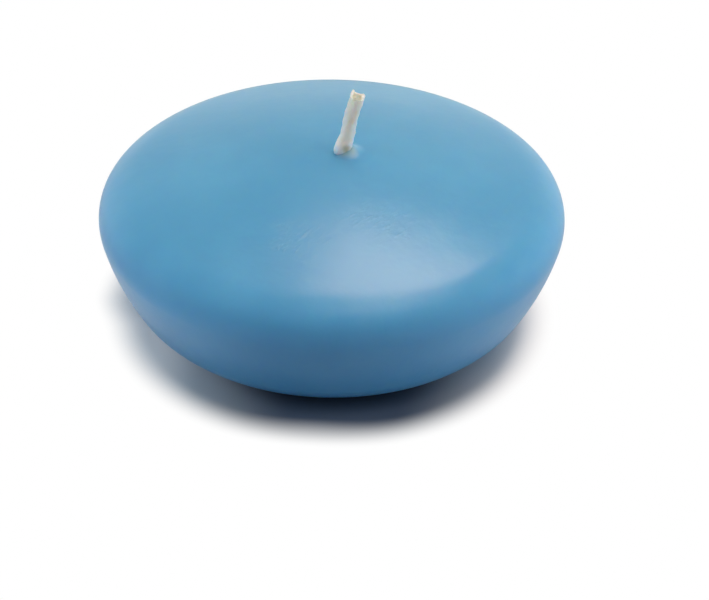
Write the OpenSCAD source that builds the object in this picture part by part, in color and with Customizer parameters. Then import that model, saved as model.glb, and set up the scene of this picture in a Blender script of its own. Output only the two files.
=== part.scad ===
// Floating candle: a domed disc of coloured wax that narrows to a small flat base,
// a braided wick that leans where it leaves the wax, and the pressed metal tab that
// holds the wick's foot. The origin is the middle of the flat base and +Z points up.

/* [Wax body] */
// Diameter of the wax at its widest line
body_d = 76.2; // [70:0.1:100]
// Height of the wax from the base to the top of the dome
body_h = 28.6; // [25:0.1:33]
// Height of the widest line above the base
widest_h = 17; // [15:0.1:20]
// Radius of the round that joins the dome to the side
rim_r = 5.8; // [4:0.1:7.5]
// Diameter of the flat part of the base
base_d = 50; // [40:0.5:56]
// Radius of the round that joins the base to the side
foot_r = 10; // [5:0.5:12]
// Radius of the swell of the side, seen from the side
side_r = 42; // [34:1:120]

/* [Wick] */
// Diameter of the wick
wick_d = 2.4; // [1.6:0.1:3.2]
// Distance of the wick from the axis of the wax
wick_x = 1.9; // [0:0.1:4]
// Height of the middle of the wick's cut end above the top of the dome
wick_out = 9.9; // [6:0.1:16]
// Angle between the leaning stretch of the wick and upright
wick_lean = 12; // [2:1:30]
// Radius of the bend where the wick starts to lean
wick_bend_r = 4; // [3:0.5:8]
// Number of strands that wind each way round the wick
braid_strands = 4; // [3:1:6]
// Length of wick along which a strand moves over by one place
braid_step = 1.7; // [1.2:0.1:3]
// Height of a strand's crown above the hollow beside it
braid_relief = 0.14; // [0.05:0.01:0.25]
// Growth of the wick's radius at its cut end, where the braid has opened
tip_flare = 0.12; // [0:0.01:0.3]
// Height of the strand ends at the two sides of the cut above its middle
tip_rise = 1; // [0:0.1:1.2]

/* [Wax crept up the wick] */
// Height of the crept wax above the top of the dome
creep_h = 0.8; // [0.4:0.1:1.5]
// Width of the crept wax around the wick
creep_w = 1.1; // [0.6:0.1:2]
// Thickness of the crept wax at its upper edge
creep_lip = 0.1; // [0.05:0.01:0.3]

/* [Wick tab] */
// Diameter of the tab's disc
tab_d = 15; // [12:0.5:25]
// Thickness of the tab's sheet metal
tab_t = 0.3; // [0.2:0.05:0.5]
// Height of the tab's neck above the underside of its disc
neck_h = 4; // [3:0.5:8]
// Radius inside the bend from the disc into the neck
neck_bend_r = 0.5; // [0.3:0.1:1]
// Depth of the recess that keeps the tab's underside off the table
tab_inset = 0.6; // [0.3:0.1:1.5]

/* [Fits] */
// Clearance between the wax and the wick or tab set into it
fit = 0.05; // [0.02:0.01:0.1]
// Clearance between the wick and the inside of the tab's neck
crimp = 0.02; // [0.01:0.01:0.05]

/* [Hidden] */
$fn = 96;

WAX = [0.39, 0.64, 0.78];
COTTON = [0.86, 0.85, 0.80];
TINPLATE = [0.74, 0.75, 0.77];

// Distance by which a cutter passes the surface it clears
past = 1;

// The wax in the plane of X and Z: a dome arc, a rim round, a side arc and a foot
// round, each touching the next, above a flat base.
rim_c = [body_d / 2 - rim_r, widest_h];
foot_c = [base_d / 2, foot_r];
dome_c = [0, level_arc_z(rim_c, rim_r, body_h)];
dome_r = body_h - dome_c[1];
side_c = meeting_point(foot_c, side_r - foot_r, rim_c, side_r - rim_r);

// The tab in the same plane, but about the wick's own axis
wick_r = wick_d / 2;
channel_r = wick_r + fit;
neck_in_r = wick_r + crimp;
neck_out_r = neck_in_r + tab_t;
disc_top = tab_inset + tab_t;
neck_top = tab_inset + neck_h;
neck_bend_c = [neck_out_r + neck_bend_r, disc_top + neck_bend_r];

// The crept wax is hollowed by an arc that ends level at its outer edge, and its
// outer edge is a little below the dome, so that the two surfaces cross.
creep_sink = 0.06;
creep_r = channel_r + creep_lip + creep_w;
creep_low = dome_height(wick_x + creep_r) - creep_sink;
creep_top = body_h + creep_h;
creep_rise = creep_top - creep_low;
creep_arc_r = (creep_w * creep_w + creep_rise * creep_rise) / (2 * creep_rise);

// The braided stretch starts inside the wax, stands upright to the top of the crept
// wax, bends and then runs straight to the cut end.
braid_root = 1.5;
braid_low = body_h - braid_root;
upright = creep_top - braid_low;
bend_len = wick_bend_r * wick_lean * PI / 180;
straight_len = (wick_out - creep_h - wick_bend_r * sin(wick_lean)) / cos(wick_lean);
braid_len = upright + bend_len + straight_len;
flare_len = 2;
core_share = 0.8;
points_per_strand = 8;
rings_per_step = 10;
ring_points = points_per_strand * braid_strands;
ring_count = ceil(braid_len / braid_step * rings_per_step);

// Height on the axis of the centre of an arc that is level at the height top and
// touches a round of radius r about c.
function level_arc_z(c, r, top) =
    let (rise = top - r)
    (rise * rise - c[1] * c[1] - c[0] * c[0]) / (2 * (rise - c[1]));

// Point at the distance ra from a and rb from b, to the left of the way from a to b.
function meeting_point(a, ra, b, rb) =
    let (
        gap = norm(b - a),
        along = (b - a) / gap,
        t = (ra * ra - rb * rb + gap * gap) / (2 * gap),
        h = sqrt(ra * ra - t * t)
    )
    a + along * t + [-along[1], along[0]] * h;

// Point at the distance r from a, on the way to b.
function towards(a, b, r) = a + (b - a) / norm(b - a) * r;

// Height of the dome at the distance x from the axis.
function dome_height(x) = dome_c[1] + sqrt(dome_r * dome_r - x * x);

// The part of a disc of radius r about c that lies beyond the line from a to b.
module crescent(c, r, a, b) {
    intersection() {
        translate(c) circle(r);
        polygon([a, towards(c, a, 2 * r), towards(c, b, 2 * r), b]);
    }
}

module wax_profile() {
    crown = [0, rim_c[1]];
    crescent(dome_c, dome_r, crown, rim_c);
    crescent(side_c, side_r, rim_c, foot_c);
    translate(rim_c) circle(rim_r);
    translate(foot_c) circle(foot_r);
    polygon([[0, 0], [foot_c[0], 0], foot_c, rim_c, crown]);
}

// A rectangle in the profile plane, from corner a to corner b.
module span(a, b) {
    translate(a) square(b - a);
}

// Crept wax beside the wick, hollowed by its arc.
module creep_profile() {
    difference() {
        span([0, creep_low - past], [creep_r, creep_top]);
        translate([creep_r, creep_low + creep_arc_r]) circle(creep_arc_r);
    }
}

// Room for the tab from below, and above it for the wick.
module wick_seat_profile() {
    span([0, -past], [tab_d / 2 + fit, disc_top + fit]);
    span([0, 0], [neck_out_r + fit, neck_top + fit]);
    span([0, neck_top], [channel_r, creep_top + past]);
    difference() {
        span([0, disc_top], neck_bend_c);
        translate(neck_bend_c) circle(neck_bend_r - fit);
    }
}

module on_wick_axis() {
    translate([wick_x, 0, 0]) rotate_extrude() children();
}

module wax_body() {
    color(WAX)
    difference() {
        union() {
            rotate_extrude() wax_profile();
            on_wick_axis() creep_profile();
        }
        on_wick_axis() wick_seat_profile();
    }
}

// Tab: a flat disc whose middle is drawn up into a neck that grips the wick.
module tab_profile() {
    span([neck_bend_c[0], tab_inset], [tab_d / 2, disc_top]);
    span([neck_in_r, neck_bend_c[1]], [neck_out_r, neck_top]);
    intersection() {
        difference() {
            translate(neck_bend_c) circle(neck_bend_r + tab_t);
            translate(neck_bend_c) circle(neck_bend_r);
        }
        span([neck_in_r, tab_inset], neck_bend_c);
    }
}

module wick_sustainer() {
    color(TINPLATE) on_wick_axis() tab_profile();
}

// Lean of the wick at the distance s along the braided stretch, in degrees.
function lean_at(s) = min(wick_lean, max(0, s - upright) / wick_bend_r * 180 / PI);

// Middle of the wick at the distance s along the braided stretch.
function middle_at(s) =
    let (
        lean = lean_at(s),
        up = min(s, upright),
        on = max(0, s - upright - bend_len)
    )
    [
        wick_x + wick_bend_r * (1 - cos(lean)) + on * sin(lean),
        0,
        braid_low + up + wick_bend_r * sin(lean) + on * cos(lean)
    ];

// Share by which the braid has opened at the distance s, 1 at the cut end.
function opened_at(s) = pow(max(0, 1 - (braid_len - s) / flare_len), 2);

// Ring of points of radius r[i] round the wick at the distance s. It is square to the
// wick's run, but where the braid has opened its two sides rise.
function ring_at(s, r) =
    let (
        lean = lean_at(s),
        out = [cos(lean), 0, -sin(lean)],
        along = [sin(lean), 0, cos(lean)],
        rise = tip_rise * opened_at(s)
    )
    [for (i = [0:ring_points - 1])
        let (turn = 360 * i / ring_points)
        middle_at(s)
            + r[i] * (cos(turn) * out + [0, sin(turn), 0])
            + rise * pow(cos(turn), 4) * along];

// Roundness of a strand: 1 on its middle line and 0 on its edge.
function crown(p) = cos(180 * (p - round(p)));

// Height of the braid, from 0 in a hollow to 1 on a crown. Strands of one set have
// their middles where p is whole, those of the other where q is whole, and at each
// crossing they take turns to be on top.
function braid_height(p, q) =
    max(
        crown(p) * (0.6 + 0.4 * cos(180 * (q - round(p)))),
        crown(q) * (0.6 - 0.4 * cos(180 * (p - round(q))))
    );

// Radii round the wick at the distance s: the braid's crowns fill the wick's
// diameter, and the cut end is opened a little.
function braid_radii(s) =
    let (r = wick_r + tip_flare * opened_at(s))
    [for (i = [0:ring_points - 1])
        let (place = i / points_per_strand, move = s / braid_step)
        r - braid_relief * (1 - braid_height(place + move, place - move))];

// Side of the braided stretch as triangles between each ring and the next.
function ring_faces(count) =
    [for (k = [0:count - 2], i = [0:ring_points - 1])
        let (
            j = (i + 1) % ring_points,
            a = k * ring_points + i,
            b = k * ring_points + j,
            c = b + ring_points,
            d = a + ring_points
        )
        each [[a, c, b], [a, d, c]]];

// The first ring is a plain core inside the round part of the wick.
module braid() {
    core = [for (i = [0:ring_points - 1]) wick_r * core_share];
    first = [for (p = ring_at(0, core)) p - [0, 0, past / 2]];
    steps = [for (k = [1:ring_count]) braid_len * k / ring_count];
    rings = [first, for (s = steps) ring_at(s, braid_radii(s))];
    last = ring_count * ring_points;
    middle = last + ring_points;
    polyhedron(
        points = concat([for (ring = rings) each ring], [middle_at(braid_len)]),
        faces = concat(
            [[for (i = [0:ring_points - 1]) i]],
            ring_faces(len(rings)),
            [for (i = [0:ring_points - 1]) [last + (i + 1) % ring_points, last + i, middle]]
        )
    );
}

module wick() {
    color(COTTON) {
        translate([wick_x, 0, tab_inset]) cylinder(r = wick_r, h = braid_low - tab_inset);
        braid();
    }
}

wax_body();
wick();
wick_sustainer();
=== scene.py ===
"""Looks of a floating candle: a domed disc of sky-blue wax, its braided wick and the tab under it.

The wax and the wick are surfaces worked out with numpy as functions of two parameters, in
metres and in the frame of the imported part: origin in the middle of the flat base, +Z up.
"""

import math

import bpy
import numpy as np
from mathutils import Matrix, Quaternion, Vector


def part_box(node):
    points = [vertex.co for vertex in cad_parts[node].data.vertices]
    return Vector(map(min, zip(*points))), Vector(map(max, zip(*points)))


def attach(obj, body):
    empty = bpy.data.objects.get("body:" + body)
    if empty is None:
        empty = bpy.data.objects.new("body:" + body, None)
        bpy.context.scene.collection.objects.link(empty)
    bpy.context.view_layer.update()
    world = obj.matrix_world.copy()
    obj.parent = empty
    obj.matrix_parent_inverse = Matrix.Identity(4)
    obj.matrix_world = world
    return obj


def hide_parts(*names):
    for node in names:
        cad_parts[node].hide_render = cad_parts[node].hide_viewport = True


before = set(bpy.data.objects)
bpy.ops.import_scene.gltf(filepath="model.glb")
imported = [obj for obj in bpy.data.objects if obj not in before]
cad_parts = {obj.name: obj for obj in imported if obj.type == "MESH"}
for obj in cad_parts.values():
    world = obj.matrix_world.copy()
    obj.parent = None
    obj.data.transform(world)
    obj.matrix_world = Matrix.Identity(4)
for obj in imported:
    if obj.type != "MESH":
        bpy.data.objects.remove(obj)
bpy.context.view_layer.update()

MM = 0.001
TAU = 2 * math.pi

# Wax body
body_low, body_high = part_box("wax_body")
BODY_R = (body_high.x - body_low.x) / 2
BODY_H = 28.6 * MM
WIDEST_H = 17.0 * MM
RIM_R = 5.8 * MM
BASE_R = 25.0 * MM
FOOT_R = 10.0 * MM
SIDE_R = 42.0 * MM
SHOULDER_OUT = 0.15 * MM
SKIN_DEPTH = 0.05 * MM

# Wick
WICK_R = 1.2 * MM
WICK_X = 1.9 * MM
WICK_OUT = 9.9 * MM
WICK_LEAN = math.radians(12)
WICK_BEND_R = 4.0 * MM
STRANDS = 4
BRAID_STEP = 1.7 * MM
BRAID_RELIEF = 0.14 * MM
YARN_RELIEF = 0.012 * MM
TIP_FLARE = 0.12 * MM
TIP_RISE = 1.0 * MM
FLARE_LEN = 2.0 * MM
BRAID_ROOT = 1.5 * MM
ROOT_BULGE = 0.72 * MM
ROOT_SWELL = 0.20 * MM
SWAY = 0.09 * MM
CUT_ROUGH = 0.16 * MM

# Wax crept up the wick
CREEP_H = 0.8 * MM
CREEP_W = 1.1 * MM
BURIED = 0.06 * MM

# Tab and its seat in the base
TAB_R = 7.5 * MM
TAB_T = 0.3 * MM
NECK_H = 4.0 * MM
NECK_BEND_R = 0.5 * MM
TAB_INSET = 0.6 * MM
FIT = 0.05 * MM
CRIMP = 0.02 * MM

# Camera, fitted to the outline of the candle in the photograph
PHOTO_W = 709
CAMERA_ELEVATION = math.radians(34.54)
CAMERA_DISTANCE = 0.400
CAMERA_AIM = Vector((3.91 * MM, 0, -0.68 * MM))
CAMERA_ROLL = math.radians(0.91)
CAMERA_FOCAL_PX = 2378
SENSOR_MM = 36


def smooth(x):
    """Smooth step of x: 0 below 0, 1 above 1 and 3x^2 - 2x^3 between."""
    x = np.clip(x, 0, 1)
    return x * x * (3 - 2 * x)


def make_mesh(name, points, quads, material, tris=None):
    """A smooth-shaded mesh object from an (n, 3) array of points and an (m, 4) array of corners."""
    sizes = np.full(len(quads), 4, np.int32)
    corners = np.asarray(quads, np.int32).ravel()
    if tris is not None and len(tris):
        sizes = np.concatenate([sizes, np.full(len(tris), 3, np.int32)])
        corners = np.concatenate([corners, np.asarray(tris, np.int32).ravel()])
    starts = np.concatenate([[0], np.cumsum(sizes)[:-1]]).astype(np.int32)
    mesh = bpy.data.meshes.new(name)
    mesh.vertices.add(len(points))
    mesh.vertices.foreach_set("co", np.asarray(points, np.float32).ravel())
    mesh.loops.add(len(corners))
    mesh.loops.foreach_set("vertex_index", corners)
    mesh.polygons.add(len(sizes))
    mesh.polygons.foreach_set("loop_start", starts)
    mesh.polygons.foreach_set("loop_total", sizes)
    mesh.polygons.foreach_set("use_smooth", np.ones(len(sizes), bool))
    mesh.update(calc_edges=True)
    mesh.validate()
    mesh.materials.append(material)
    piece = bpy.data.objects.new(name, mesh)
    bpy.context.scene.collection.objects.link(piece)
    return piece


def ring_quads(rings, around, closed_along=False):
    """Corners of the quads between each ring and the next, on a grid of rings by points around."""
    last = rings if closed_along else rings - 1
    i, j = np.meshgrid(np.arange(last), np.arange(around), indexing="ij")
    i2, j2 = (i + 1) % rings, (j + 1) % around
    a, b = i * around + j, i * around + j2
    c, d = i2 * around + j2, i2 * around + j
    return np.stack([a, b, c, d], -1).reshape(-1, 4)


class Profile:
    """The wax in the plane of radius and height: dome arc, rim round, side arc and foot round.

    Each arc touches the next. The dome arc is level on the axis, and the side arc is found as
    the circle that touches both rounds from outside.
    """

    def __init__(self):
        self.rim_c = np.array([BODY_R - RIM_R, WIDEST_H])
        self.foot_c = np.array([BASE_R, FOOT_R])
        rise = BODY_H - RIM_R
        x, z = self.rim_c
        self.dome_z = (rise**2 - z**2 - x**2) / (2 * (rise - z))
        self.dome_r = BODY_H - self.dome_z
        to_foot, to_rim = SIDE_R - FOOT_R, SIDE_R - RIM_R
        gap = np.linalg.norm(self.rim_c - self.foot_c)
        along = (self.rim_c - self.foot_c) / gap
        t = (to_foot**2 - to_rim**2 + gap**2) / (2 * gap)
        across = np.array([-along[1], along[0]])
        self.side_c = self.foot_c + along * t + across * math.sqrt(to_foot**2 - t**2)
        self.dome_tilt = self.angle(self.rim_c, [0, self.dome_z])
        self.rim_tilt = self.angle(self.rim_c, self.side_c)
        self.foot_tilt = self.angle(self.foot_c, self.side_c)

    @staticmethod
    def angle(point, centre):
        """Angle from level of the way from centre to point."""
        return math.atan2(point[1] - centre[1], point[0] - centre[0])

    def dome(self, radius):
        """Height of the dome at a distance from the axis."""
        return self.dome_z + np.sqrt(self.dome_r**2 - radius**2)

    @staticmethod
    def arc(centre, radius, start, end, count):
        """Points on an arc from the angle start to the angle end, both included."""
        a = np.linspace(start, end, count)
        return np.stack([centre[0] + radius * np.cos(a), centre[1] + radius * np.sin(a)], -1)


def ease(curve, middle, before, after, half):
    """A curve whose bend is eased about its point number middle.

    There each point becomes the mean of the curve over the length half to each side, moved
    outwards by SHOULDER_OUT so that the outline keeps its size. A smooth step fades this out
    over the lengths before and after.
    """
    steps = np.linalg.norm(np.diff(curve, axis=0), axis=1)
    s = np.concatenate([[0], np.cumsum(steps)])
    spots = s[:, None] + half * np.linspace(-1, 1, 31)
    mean = np.stack([np.interp(spots, s, curve[:, k]).mean(1) for k in (0, 1)], -1)
    from_middle = s - s[middle]
    share = smooth(1 + from_middle / before) * smooth(1 - from_middle / after)
    run = np.gradient(curve, s, axis=0)
    outward = np.stack([-run[:, 1], run[:, 0]], -1) / np.linalg.norm(run, axis=1)[:, None]
    return curve + share[:, None] * (mean - curve + SHOULDER_OUT * outward)


def swell(points, seed, size, waves=24):
    """A smooth random height in -1..1 at each point: a sum of sine waves in random directions.

    The waves' lengths are around size, and their directions and phases are drawn from the seed.
    """
    draw = np.random.default_rng(seed)
    directions = draw.normal(size=(waves, 3))
    directions /= np.linalg.norm(directions, axis=1)[:, None]
    numbers = TAU / (size * draw.uniform(0.7, 1.6, waves))
    phases = draw.uniform(0, TAU, waves)
    total = np.zeros(points.shape[:-1])
    for direction, number, phase in zip(directions, numbers, phases):
        total += np.sin(points @ (direction * number) + phase)
    return total / math.sqrt(waves) / 2


def wax_surface(material):
    """The whole wax as one closed ring of rings, from the wick's channel out over the dome,
    round the rim, down the side, in across the base, up round the tab's seat and back.

    Rings near the wick are centred on it and those past the middle of the dome on the wax's own
    axis: the centre moves as a smooth step of the ring's radius. The shoulder between dome and
    rim is eased. On the dome the height is that of the dome arc plus the crept wax, which falls
    off from the wick as the 1.8th power and is highest and widest towards the lean. The cast
    skin is never quite true: it lies up to SKIN_DEPTH inside the ideal surface, by a random
    swell that fades out at the wick and at the base.
    """
    around = 288
    p = Profile()
    channel = WICK_R + FIT
    turn = np.linspace(0, TAU, around, endpoint=False)
    ring_x, ring_y = np.cos(turn), np.sin(turn)

    def ring(radius, height, centre):
        """Rings of points from arrays of radius, height and centre."""
        radius, height, centre = np.broadcast_arrays(radius, height, centre)
        x = centre[:, None] + radius[:, None] * ring_x
        y = radius[:, None] * ring_y
        return np.stack([x, y, np.broadcast_to(height[:, None], x.shape)], -1)

    def centre_of(radius):
        """Place along X of a ring's centre: the wick's near it, the axis further out."""
        return WICK_X * (1 - smooth((radius - 3 * MM) / (20 * MM)))

    start = WICK_R - BURIED
    out = np.linspace(0, 1, 130) ** 2.1
    radius = start + (p.rim_c[0] + RIM_R * math.cos(p.dome_tilt) - start) * out
    rim = p.arc(p.rim_c, RIM_R, p.dome_tilt, p.rim_tilt, 46)[1:]
    side = p.arc(p.side_c, SIDE_R, p.rim_tilt, p.foot_tilt, 34)[1:]
    foot = p.arc(p.foot_c, FOOT_R, p.foot_tilt, -math.pi / 2, 34)[1:]
    crown = np.stack([radius, p.dome(radius)], -1)
    eased = ease(np.concatenate([crown, rim]), len(crown) - 1, 10 * MM, 6.8 * MM, 3.4 * MM)
    drawn, sunk = (eased[:len(crown)] - crown).T
    outer = np.concatenate([eased[len(crown):], side, foot])

    dome = ring(radius, np.zeros(len(radius)), centre_of(radius))
    from_axis = np.hypot(dome[..., 0], dome[..., 1])
    from_wick = np.hypot(dome[..., 0] - WICK_X, dome[..., 1])
    facing = 0.5 + 0.5 * np.cos(turn + math.radians(12))
    creep = 0.28 + 0.90 * facing**1.5 + 0.08 * np.sin(3 * turn + 1)
    reach = CREEP_W * (1.1 + 1.1 * facing)
    fall = np.clip(1 - (from_wick - start) / reach, 0, 1)
    dome[..., 2] = p.dome(from_axis) + CREEP_H * creep * fall**1.8 + sunk[:, None]
    dome[..., :2] *= (1 + drawn / radius)[:, None, None]

    seat = TAB_R + FIT
    edge = 0.25 * MM
    base_radius = np.linspace(BASE_R, seat + edge, 12)[1:]
    base_centre = WICK_X * smooth((BASE_R - base_radius) / (BASE_R - seat - edge))
    seat_edge = p.arc([seat + edge, edge], edge, -math.pi / 2, -math.pi, 6)[1:]
    ceiling = TAB_INSET + TAB_T + FIT
    neck = WICK_R + CRIMP + TAB_T + FIT
    bend = p.arc(
        [neck - FIT + NECK_BEND_R, ceiling - FIT + NECK_BEND_R],
        NECK_BEND_R - FIT, -math.pi / 2, -math.pi, 7,
    )
    neck_top = TAB_INSET + NECK_H + FIT
    inside = np.concatenate([
        seat_edge,
        [[seat, ceiling]],
        bend,
        [[neck, neck_top], [channel, neck_top], [channel, BODY_H - 1 * MM]],
    ])

    rings = np.concatenate([
        dome,
        ring(outer[:, 0], outer[:, 1], np.zeros(len(outer))),
        ring(base_radius, np.zeros(len(base_radius)), base_centre),
        ring(inside[:, 0], inside[:, 1], np.full(len(inside), WICK_X)),
        ring(np.array([start - 0.02 * MM]), np.array([BODY_H - 0.5 * MM]), np.array([WICK_X])),
    ])

    shell = len(dome) + len(outer)
    skin = rings[:shell]
    along = np.gradient(skin, axis=0)
    across = np.roll(skin, -1, axis=1) - np.roll(skin, 1, axis=1)
    normal = np.cross(across, along)
    normal /= np.linalg.norm(normal, axis=-1, keepdims=True)
    normal *= np.sign(normal[:40, :, 2].mean())
    depth = 0.5 + 0.5 * np.clip(swell(skin, 5, 22 * MM) * 0.9, -1, 1)
    hold = smooth((np.linalg.norm(skin[..., :2] - [WICK_X, 0], axis=-1) - 3 * MM) / (5 * MM))
    hold *= smooth((skin[..., 2] - 0.3 * MM) / (3 * MM))
    rings[:shell] = skin - normal * (SKIN_DEPTH * depth * hold)[..., None]

    quads = ring_quads(len(rings), around, closed_along=True)[:, ::-1]
    return make_mesh("wax_candle", rings.reshape(-1, 3), quads, material)


def wick_path(along):
    """Middle and lean of the wick at distances along the braided stretch: upright, then a bend,
    then straight. The bend turns by the distance over its radius."""
    upright = CREEP_H + BRAID_ROOT
    bend = WICK_BEND_R * WICK_LEAN
    lean = np.clip((along - upright) / WICK_BEND_R, 0, WICK_LEAN)
    up = np.minimum(along, upright)
    on = np.maximum(0, along - upright - bend)
    x = WICK_X + WICK_BEND_R * (1 - np.cos(lean)) + on * np.sin(lean)
    z = BODY_H - BRAID_ROOT + up + WICK_BEND_R * np.sin(lean) + on * np.cos(lean)
    return x, z, lean


def wick_length():
    """Length of the braided stretch, root and cut end included."""
    straight = (WICK_OUT - CREEP_H - WICK_BEND_R * math.sin(WICK_LEAN)) / math.cos(WICK_LEAN)
    return CREEP_H + BRAID_ROOT + WICK_BEND_R * WICK_LEAN + straight


def wick_tip():
    """Middle of the wick's cut end."""
    x, z, _ = wick_path(np.array([wick_length()]))
    return float(x[0]), 0.0, float(z[0])


def braid(p, q):
    """Height of the braid, 0 in a hollow and 1 on a crown, and the twist of the yarn in it.

    Strands of one set have their middles where p is whole, those of the other where q is whole.
    Each is a half cosine across, lifted and lowered by a cosine along it so that the two sets
    take turns on top. The yarn's twist is a fine cosine on a slant across the upper strand.
    """
    def strand(across, along, sign):
        middle = np.round(across)
        off = across - middle
        height = np.cos(math.pi * off) * (0.6 + sign * 0.4 * np.cos(math.pi * (along - middle)))
        yarn = np.cos(TAU * (3 * along + 2.2 * off))
        return height, yarn

    one, one_yarn = strand(p, q, 1)
    two, two_yarn = strand(q, p, -1)
    return np.maximum(one, two), np.where(one > two, one_yarn, two_yarn)


def wick_surface(material):
    """The wick from its root in the wax to its cut end: rings round its path, closed at both ends.

    The radius follows the braid, opens towards the cut end with the square of the way, and swells
    at the root on the side away from the lean, where a strand stands off, as a bell curve of
    angle and height. The path sways by a small sine. At the cut two bundles of strands rise,
    each as a bell curve of the angle round the wick, and the face between them is rough.
    """
    around, along_count, cap_count = 144, 440, 22
    turn = np.linspace(0, TAU, around, endpoint=False)

    def bell(middle, width):
        """Bell curve of the angle round the wick, 1 at the middle, given in degrees."""
        gap = (turn - math.radians(middle) + math.pi) % TAU - math.pi
        return np.exp(-(gap / width) ** 2)

    def place_rings(radius, x, z, lean, lift):
        """Rings square to the path, each point lifted along it."""
        x, z, lean = (np.broadcast_to(value, len(radius))[:, None] for value in (x, z, lean))
        return np.stack([
            x + radius * np.cos(turn) * np.cos(lean) + lift * np.sin(lean),
            radius * np.sin(turn) + 0 * lift,
            z - radius * np.cos(turn) * np.sin(lean) + lift * np.cos(lean),
        ], -1)

    length = wick_length()
    s = np.linspace(0, length, along_count)
    place = STRANDS * turn / TAU
    move = s[:, None] / BRAID_STEP
    height, yarn = braid(place + move, place - move)
    opened = (np.clip(1 - (length - s) / FLARE_LEN, 0, 1) ** 2)[:, None]
    radius = WICK_R + 0.5 * TIP_FLARE * opened - 0.7 * BRAID_RELIEF * (1 - height)
    radius = radius + YARN_RELIEF * (yarn - 1) * smooth(height * 2)
    x, z, lean = wick_path(s)
    above = z - BODY_H
    x = x + SWAY * np.sin(TAU * (above - 1.5 * MM) / (6.3 * MM)) * smooth(above / (1.5 * MM))

    level = (above - 0.4 * MM)[:, None]
    spread = np.where(level > 0, level / (1.5 * MM), level / (1.4 * MM))
    radius = radius + ROOT_BULGE * bell(224, 0.62) * np.exp(-spread**2)
    radius = radius + ROOT_SWELL * np.exp(-((above / (2.0 * MM)) ** 2))[:, None]

    left, right = bell(152, 0.55), bell(15, 0.62)
    ragged = 1 + 0.07 * np.cos(7 * turn + 1.0) + 0.05 * np.cos(13 * turn)
    rise = TIP_RISE * (0.80 * left + 0.46 * right) * ragged
    radius = radius - 0.14 * MM * opened * left
    stem = place_rings(radius, x, z, lean, rise * opened)

    inward = np.linspace(0, 1, cap_count + 1)[1:, None]
    end = radius[-1] * (1 - inward)
    flat = np.stack([end * np.cos(turn), end * np.sin(turn), np.zeros_like(end)], -1)
    lift = rise * (1 - smooth(inward * 1.5)) + CUT_ROUGH * np.sin(math.pi * inward)
    rough = swell(flat, 11, 0.55 * MM) * smooth(5 * inward) * smooth(4 - 4 * inward)
    cap = place_rings(end, x[-1], z[-1], lean[-1], lift + CUT_ROUGH * rough)

    shrink = np.linspace(0, 1, 5)[:-1, None]
    low = place_rings(radius[0] * shrink, x[0], z[0], lean[0], 0)
    rings = np.concatenate([low, stem, cap]).reshape(-1, 3)
    return make_mesh("braided_wick", rings, ring_quads(len(rings) // around, around), material)


class Value:
    """A shader socket in Python expressions: each operator adds its Math node."""

    def __init__(self, paint, socket):
        self.paint = paint
        self.socket = socket

    def math(self, operation, *others):
        """A Math node with this value as its first input."""
        inputs = dict(enumerate((self, *others)))
        return self.paint.node("ShaderNodeMath", {"operation": operation}, inputs)

    def __add__(self, other):
        return self.math("ADD", other)

    __radd__ = __add__

    def __sub__(self, other):
        return self.math("SUBTRACT", other)

    def __rsub__(self, other):
        return self * -1 + other

    def __mul__(self, other):
        return self.math("MULTIPLY", other)

    __rmul__ = __mul__

    def __truediv__(self, other):
        return self.math("DIVIDE", other)

    def __abs__(self):
        return self.math("ABSOLUTE")

    def step(self, low, high):
        """0 below low, 1 above high and smooth between."""
        settings = {"interpolation_type": "SMOOTHSTEP"}
        inputs = {0: self, 1: low, 2: high, 3: 0, 4: 1}
        return self.paint.node("ShaderNodeMapRange", settings, inputs)


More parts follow.
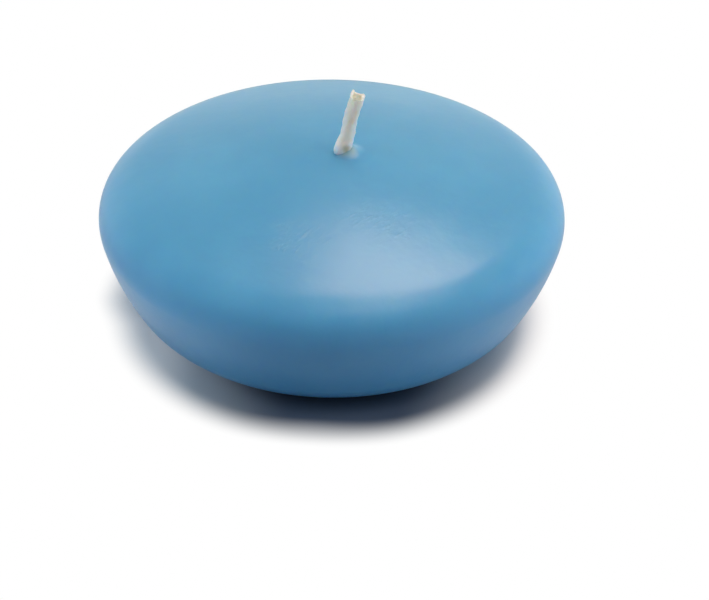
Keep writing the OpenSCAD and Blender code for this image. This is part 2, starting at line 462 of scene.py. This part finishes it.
class Paint:
    """A node tree that a material or the world is written into."""

    def __init__(self, owner):
        owner.use_nodes = True
        self.owner = owner
        self.tree = owner.node_tree
        self.tree.nodes.clear()

    def node(self, kind, settings=None, inputs=None, output=0):
        """Adds a node, sets it up, fills its sockets with values or links, returns an output."""
        made = self.tree.nodes.new(kind)
        for key, value in (settings or {}).items():
            setattr(made, key, value)
        for key, value in (inputs or {}).items():
            socket = made.inputs[key]
            if isinstance(value, Value):
                self.tree.links.new(value.socket, socket)
            elif socket.type == "RGBA":
                socket.default_value = (*value, 1)
            else:
                socket.default_value = value
        return Value(self, made.outputs[output] if len(made.outputs) else None)

    def mix(self, factor, a, b):
        """Mix of two colours."""
        return self.node("ShaderNodeMix", {"data_type": "RGBA"}, {0: factor, 6: a, 7: b}, 2)

    def mix_shader(self, factor, a, b):
        """Mix of two shaders."""
        return self.node("ShaderNodeMixShader", None, {0: factor, 1: a, 2: b})

    def place(self, scale=(1, 1, 1), turn=(0, 0, 0), shift=(0, 0, 0)):
        """Object coordinates, moved, then turned, then scaled."""
        spot = self.node("ShaderNodeTexCoord", output="Object")
        for key, value in (("Location", shift), ("Rotation", turn), ("Scale", scale)):
            spot = self.node("ShaderNodeMapping", None, {"Vector": spot, key: value})
        return spot

    def axis(self, vector, name):
        """One component of a vector."""
        return self.node("ShaderNodeSeparateXYZ", None, {0: vector}, name)

    def length(self, vector):
        """Length of a vector."""
        return self.node("ShaderNodeVectorMath", {"operation": "LENGTH"}, {0: vector}, 1)

    def distance(self, middle):
        """Distance from a point of the object's own space."""
        spot = self.node("ShaderNodeTexCoord", output="Object")
        settings = {"operation": "DISTANCE"}
        return self.node("ShaderNodeVectorMath", settings, {0: spot, 1: middle}, 1)

    def ray(self, kind):
        """1 for rays of a kind, such as Is Camera Ray, and 0 for others."""
        return self.node("ShaderNodeLightPath", output=kind)

    def noise(self, where, detail=2.0, rough=0.5):
        """Smooth noise in 0..1."""
        inputs = {"Vector": where, "Scale": 1.0, "Detail": detail, "Roughness": rough}
        return self.node("ShaderNodeTexNoise", None, inputs)

    def bump(self, height, distance, strength=1.0):
        """Normal of a surface with a relief of the given height times the distance."""
        inputs = {"Height": height, "Distance": distance, "Strength": strength}
        return self.node("ShaderNodeBump", None, inputs)

    def surface(self, shader):
        """Ends the material with its shader and returns it."""
        self.node("ShaderNodeOutputMaterial", None, {"Surface": shader})
        return self.owner


WAX_DEEP = (0.107, 0.402, 0.690)
WAX_PALE = (0.126, 0.443, 0.735)
WAX_RUBBED = (0.215, 0.490, 0.700)
WAX_FILM_AND_PAINTED_LIGHT = (0.40, 0.56, 0.62)
COTTON_PALE = (0.97, 0.90, 0.86)
COTTON_WARM_AND_SHADE = (0.93, 0.74, 0.57)
COTTON_STAINED = (0.93, 0.91, 0.80)
COTTON_CUT = (0.44, 0.53, 0.47)
COTTON_WAXED = (0.69, 0.82, 0.95)
COTTON_SHADED = (0.56, 0.58, 0.44)
TIN_BRIGHT = (0.72, 0.73, 0.75)
TIN_BLOOM = (0.634, 0.642, 0.660)

# Middles of the two rubbed places, of the film of wax beside the wick, painted paler also as
# light that lifts the wick's shadow there, and of the painted shade in the hollow in front of
# the strand that stands off
RUBBED_LEFT = (-4.8 * MM, -22.6 * MM, 25.8 * MM)
RUBBED_RIGHT = (7.5 * MM, -18.2 * MM, 26.5 * MM)
FILM_AND_PAINTED_LIGHT_MIDDLE = (2.4 * MM, -0.8 * MM, 28.9 * MM)
HOLLOW_SHADE_MIDDLE = (2.15 * MM, -1.2 * MM, 29.6 * MM)


def wax_material():
    """Sky-blue wax: light enters and scatters, the skin is satin, with a faint mottle of the
    colour, low waves, a fine grain, a thin film beside the wick, painted paler also as light
    that lifts the wick's shadow there, and rub marks.

    The rub marks are two stretched noises, turned so that they run slantwise over the front of
    the dome, in patches within two round places.
    """
    paint = Paint(bpy.data.materials.new("sky_blue_wax"))
    mottle = paint.noise(paint.place((45, 45, 45)), 3.0, 0.55)
    colour = paint.mix(mottle.step(0.35, 0.68), WAX_DEEP, WAX_PALE)

    slant = (0, 0, math.radians(43))
    fine = paint.noise(paint.place((2600, 640, 700), slant), 2.0, 0.6)
    broad = paint.noise(paint.place((1100, 400, 450), slant, (0.013, 0.004, 0)), 2.0, 0.5)
    patches = paint.noise(paint.place((230, 230, 230), shift=(0.02, 0.01, 0)), 2.0, 0.5)
    left = 1 - paint.distance(RUBBED_LEFT).step(1.5 * MM, 8 * MM)
    right = 1 - paint.distance(RUBBED_RIGHT).step(1.5 * MM, 8 * MM)
    rubbed = (left + 0.6 * right) * (0.35 + 0.65 * patches.step(0.40, 0.60))
    rubs = (fine.step(0.50, 0.72) + broad.step(0.50, 0.70) * 0.7) * rubbed
    colour = paint.mix(rubs * 0.22, colour, WAX_RUBBED)

    grain = paint.noise(paint.place((900, 900, 900)), 3.0, 0.6)
    lumps = paint.noise(paint.place((210, 210, 210)), 3.0, 0.55)
    height = rubs * 0.035 + grain * 0.005 + lumps * 0.080
    # Thin wax film beside the wick, its colour painted paler also as light that lifts the wick's
    # shadow there
    film_and_painted_light = 1 - paint.distance(FILM_AND_PAINTED_LIGHT_MIDDLE).step(0.8 * MM, 2.3 * MM)
    skin = paint.node("ShaderNodeBsdfPrincipled", {"subsurface_method": "RANDOM_WALK"}, {
        "Base Color": paint.mix(film_and_painted_light * 0.6, colour, WAX_FILM_AND_PAINTED_LIGHT),
        "Roughness": 0.30 + 0.06 * (grain - 0.5) + 0.05 * rubbed + 0.25 * film_and_painted_light,
        "IOR": 1.45,
        "Specular IOR Level": 0.42,
        "Subsurface Weight": 1.0,
        "Subsurface Radius": (0.55, 1.0, 1.4),
        "Subsurface Scale": 1.6 * MM,
        "Normal": paint.bump(height, 1.0 * MM),
    })
    return paint.surface(skin)


def cotton_material():
    """Undyed braided cotton stiffened with wax.

    It is warm down the middle, partly as painted shade between its lit edges, and more so in a
    band of its height, stained towards the tip, greenish on the cut face, coated with blue wax at
    the root, and painted dark, as shade, in the hollow where it enters the wax.
    """
    paint = Paint(bpy.data.materials.new("waxed_cotton"))
    fibre = paint.noise(paint.place((2600, 2600, 900)), 3.0, 0.6)
    stain = paint.noise(paint.place((420, 420, 190)), 2.0, 0.5)
    height = paint.axis(paint.place(), "Z")
    tip = paint.place(turn=(0, -WICK_LEAN, 0), shift=tuple(-c for c in wick_tip()))
    along = paint.axis(tip, "Z")

    # Warmer and darker down the middle: partly painted shade between the wick's lit edges, partly
    # the cotton's warm tone, more so in a stained band of its height
    middle = 1 - abs(paint.axis(tip, "X")).step(0.25 * MM, 1.0 * MM)
    band = height.step(33.4 * MM, 35.2 * MM) * (1 - height.step(36.2 * MM, 38.0 * MM))
    warm_and_shade = (0.25 + 0.75 * band * stain.step(0.36, 0.62)) * middle
    colour = paint.mix(warm_and_shade * 0.9, COTTON_PALE, COTTON_WARM_AND_SHADE)
    colour = paint.mix(along.step(-3.0 * MM, -0.8 * MM) * 0.7, colour, COTTON_STAINED)

    face = paint.node("ShaderNodeVectorMath", {"operation": "MULTIPLY_ADD"}, {
        0: tip, 1: (1.6, 1, 0), 2: (-0.08 * MM, 0.45 * MM, 0),
    })
    on_face = 1 - paint.length(face).step(0.95 * MM, 1.45 * MM)
    cut = along.step(-0.22 * MM, 0.02 * MM) * on_face
    colour = paint.mix(cut * 0.9, colour, COTTON_CUT)

    root = (1 - height.step(28.9 * MM, 31.0 * MM)) * (0.55 + 0.45 * stain.step(0.35, 0.6))
    colour = paint.mix(root * 0.75, colour, COTTON_WAXED)
    # Painted shade in the hollow where the wick enters the wax
    hollow_shade = 1 - paint.distance(HOLLOW_SHADE_MIDDLE).step(0.1 * MM, 1.1 * MM)
    colour = paint.mix(hollow_shade * 0.85, colour, COTTON_SHADED)
    skin = paint.node("ShaderNodeBsdfPrincipled", {"subsurface_method": "RANDOM_WALK"}, {
        "Base Color": colour,
        "Roughness": 0.55,
        "IOR": 1.45,
        "Subsurface Weight": 1.0,
        "Subsurface Radius": (1.6, 1.1, 0.8),
        "Subsurface Scale": 1.2 * MM,
        "Normal": paint.bump(fibre, 0.02 * MM, 0.6),
    })
    return paint.surface(skin)


def tinplate_material():
    """Bright tinned sheet with fine rolling lines and a faint bloom."""
    paint = Paint(bpy.data.materials.new("tinplate"))
    lines = paint.noise(paint.place((6000, 120, 1000), (0, 0, math.radians(20))), 2.0, 0.6)
    bloom = paint.noise(paint.place((250, 250, 250)), 2.0, 0.5)
    skin = paint.node("ShaderNodeBsdfPrincipled", None, {
        "Base Color": paint.mix(bloom.step(0.4, 0.7), TIN_BRIGHT, TIN_BLOOM),
        "Metallic": 1.0,
        "Roughness": 0.26 + 0.10 * bloom,
        "Normal": paint.bump(lines, 0.004 * MM, 0.5),
    })
    return paint.surface(skin)


BLACK = (0, 0, 0)
WHITE = (1, 1, 1)
FLOOR_R = 3.0
FLOOR_BOUNCE = (0.27, 0.31, 0.42)
SHADOW_DEEP = (0.100, 0.130, 0.188)
SHADOW_PALE = (0.95, 0.95, 0.95)
SHADOW_CONTACT = (0.015, 0.030, 0.050)
SHADOW_MIDDLE = (-0.15 * MM, -2.99 * MM)


def floor_material():
    """White paper sweep, so brightly lit in the photograph that only the candle's shadow shows.

    To the object it is a plain pale floor. To the camera and in reflections it is a floor that
    takes the candle's shadow and has a painted shadow in its colour, deepest in front where the
    wax meets it, and plain white beyond the painted shadow's rim. The rim is a smooth step of the
    distance from the shadow's middle, with the sides drawn in a little, the front flatter and
    softer and the left end longer. In reflections the white is dimmed as painted shade near the
    candle and far in front of it.
    """
    paint = Paint(bpy.data.materials.new("white_sweep"))
    spot = paint.place((1, 1, 0), shift=(-SHADOW_MIDDLE[0], -SHADOW_MIDDLE[1], 0))
    away = paint.length(spot)
    side = paint.axis(spot, "X")
    ahead = paint.axis(spot, "Y") * -1
    across = abs(side - 2.8 * MM)

    # Painted shadow in the floor's colour: deepest down the middle in front, paler to the sides
    painted_shadow_tone = paint.mix(across.step(7.5 * MM, 33.1 * MM), SHADOW_DEEP, SHADOW_PALE)
    # Painted contact shadow where the wax meets the floor in front
    painted_contact_shadow = (1 - away.step(26 * MM, 31 * MM)) * (1 - across.step(6 * MM, 20 * MM))
    painted_shadow_tone = paint.mix(0.7 * painted_contact_shadow, painted_shadow_tone, SHADOW_CONTACT)
    shade = paint.node("ShaderNodeBsdfDiffuse", None, {"Color": painted_shadow_tone})

    camera = paint.ray("Is Camera Ray")
    # In reflections the floor's white is dimmed as painted shade near the candle and far in front
    near = 0.36 + 0.40 * across.step(10 * MM, 45 * MM)
    far = 1 - 0.45 * ahead.step(20 * MM, 200 * MM)
    level = camera.math("MAXIMUM", near + (far - near) * away.step(50 * MM, 260 * MM))
    white = paint.node("ShaderNodeEmission", None, {"Color": paint.mix(level, BLACK, WHITE)})

    flat = 1 - abs(side + 2 * MM).step(0, 15 * MM)
    soft = 1.3 * MM - 0.7 * MM * away.step(31 * MM, 36 * MM)
    left_end = (0 - ahead / away).step(-0.22, 0.06) * (0 - side / away).step(0.5, 0.9)
    edge = away + 1.2 * MM * (side * side) / (away * away) + soft * flat - 2.0 * MM * left_end
    inside = 1 - edge.step(31.9 * MM, 39.0 * MM)
    rim = 1 - inside * (1 - 0.13 * across.step(22.7 * MM, 31.2 * MM))

    bounce = paint.node("ShaderNodeBsdfDiffuse", None, {"Color": FLOOR_BOUNCE})
    seen = camera.math("MAXIMUM", paint.ray("Is Glossy Ray"))
    front = paint.mix_shader(seen, bounce, paint.mix_shader(rim, shade, white))
    behind = paint.node("ShaderNodeNewGeometry", output="Backfacing")
    clear = paint.node("ShaderNodeBsdfTransparent")
    return paint.surface(paint.mix_shader(behind, front, clear))


def add_floor():
    """A disc of floor: rings of points closed by a fan in the middle, with its top face up."""
    around = 96
    turn = np.linspace(0, TAU, around, endpoint=False)
    radii = np.array([0.0005, 0.05, 0.1, 0.3, 1.0, FLOOR_R])
    x, y = np.outer(radii, np.cos(turn)), np.outer(radii, np.sin(turn))
    rings = np.stack([x, y, np.zeros_like(x)], -1).reshape(-1, 3)
    i = np.arange(around)
    fan = np.stack([np.full(around, len(rings)), i, (i + 1) % around], -1)
    quads = ring_quads(len(radii), around)[:, ::-1]
    points = np.vstack([rings, [[0, 0, 0]]])
    make_mesh("floor", points, quads, floor_material(), fan)


SKY_TINT = (0.88, 0.95, 1.0)
SKY_LEVEL = 0.08


def add_world():
    """White to the camera; to reflections, white near the horizon behind the candle and dimmer
    above and in front; to the object only a faint cool fill."""
    world = bpy.data.worlds.new("studio")
    bpy.context.scene.world = world
    paint = Paint(world)
    way = paint.node("ShaderNodeTexCoord", output="Generated")
    ahead = paint.axis(way, "Y") * -1
    low = (1 - paint.axis(way, "Z").step(0.05, 0.75)) * (1 - 0.80 * ahead.step(0.0, 0.9))
    fill = paint.node("ShaderNodeBackground", None, {"Color": SKY_TINT, "Strength": SKY_LEVEL})
    sweep = paint.node("ShaderNodeBackground", None, {"Color": paint.mix(low, BLACK, WHITE)})
    white = paint.node("ShaderNodeBackground", None, {"Color": WHITE, "Strength": 1.0})
    lit = paint.mix_shader(paint.ray("Is Glossy Ray"), fill, sweep)
    seen = paint.ray("Is Camera Ray").math("MAXIMUM", paint.ray("Is Transmission Ray"))
    shown = paint.mix_shader(seen, lit, white)
    paint.node("ShaderNodeOutputWorld", None, {"Surface": shown})


def add_softbox(name, towards, rise, distance, size, level, tint, spin=0, shine=True):
    """A soft lamp aimed at the candle, at a compass angle from +Y towards +X and an angle above
    the floor, turned about its own beam by spin, all in degrees. level is the light on a
    surface that faces it, where 1 shows white as white."""
    towards, rise, spin = (math.radians(angle) for angle in (towards, rise, spin))
    way = Vector((
        math.cos(rise) * math.sin(towards), math.cos(rise) * math.cos(towards), math.sin(rise),
    ))
    lamp = bpy.data.lights.new(name, "AREA")
    lamp.shape = "RECTANGLE"
    lamp.size, lamp.size_y = size
    lamp.energy = level * math.pi**2 * distance**2
    lamp.color = tint
    holder = bpy.data.objects.new(name, lamp)
    bpy.context.scene.collection.objects.link(holder)
    turn = way.to_track_quat("Z", "Y") @ Quaternion((0, 0, 1), spin)
    holder.location = way * distance
    holder.rotation_euler = turn.to_euler()
    holder.visible_camera = False
    holder.visible_glossy = shine


KEY_TINT = (1.28, 0.94, 0.755)
TOP_TINT = (1.24, 0.92, 0.70)
FILL_TINT = (1.6, 0.75, 0.4)
SIDE_TINT = (0.84, 0.97, 1.02)


def add_lamps():
    """A softbox high behind the candle to the right, a weaker one high on its right, a faint
    warm fill in front and one low at each side. Only the two high ones show in the gloss."""
    add_softbox("key_softbox", 31, 67, 2.0, (1.08, 0.92), 0.54, KEY_TINT, spin=13)
    add_softbox("top_softbox", 118, 72, 2.0, (1.0, 1.05), 0.18, TOP_TINT, spin=118)
    add_softbox("front_fill", 180, 14, 2.0, (0.8, 0.8), 0.032, FILL_TINT, shine=False)
    add_softbox("left_softbox", -100, 18, 1.6, (1.2, 1.2), 0.55, SIDE_TINT, shine=False)
    add_softbox("right_softbox", 100, 14, 1.6, (1.2, 1.2), 0.57, SIDE_TINT, shine=False)


def add_camera():
    """The camera at the photograph's viewing angle: elevation, distance, aim, roll and lens."""
    data = bpy.data.cameras.new("camera")
    data.sensor_width = SENSOR_MM
    data.lens = CAMERA_FOCAL_PX / PHOTO_W * SENSOR_MM
    data.clip_start, data.clip_end = 0.01, 20
    camera = bpy.data.objects.new("camera", data)
    bpy.context.scene.collection.objects.link(camera)
    back = Vector((0, -math.cos(CAMERA_ELEVATION), math.sin(CAMERA_ELEVATION)))
    right = Vector((1, 0, 0))
    up = back.cross(right)
    c, s = math.cos(CAMERA_ROLL), math.sin(CAMERA_ROLL)
    right, up = right * c + up * s, up * c - right * s
    turn = Matrix((right, up, back)).transposed().to_4x4()
    camera.matrix_world = Matrix.Translation(CAMERA_AIM + back * CAMERA_DISTANCE) @ turn
    bpy.context.scene.camera = camera


add_camera()
add_world()
add_lamps()
add_floor()
bpy.context.scene.view_settings.view_transform = "Standard"

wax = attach(wax_surface(wax_material()), "root")
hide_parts("wax_body")

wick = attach(wick_surface(cotton_material()), "root")
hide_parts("wick")

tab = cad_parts["wick_sustainer"]
tab.data.materials.clear()
tab.data.materials.append(tinplate_material())
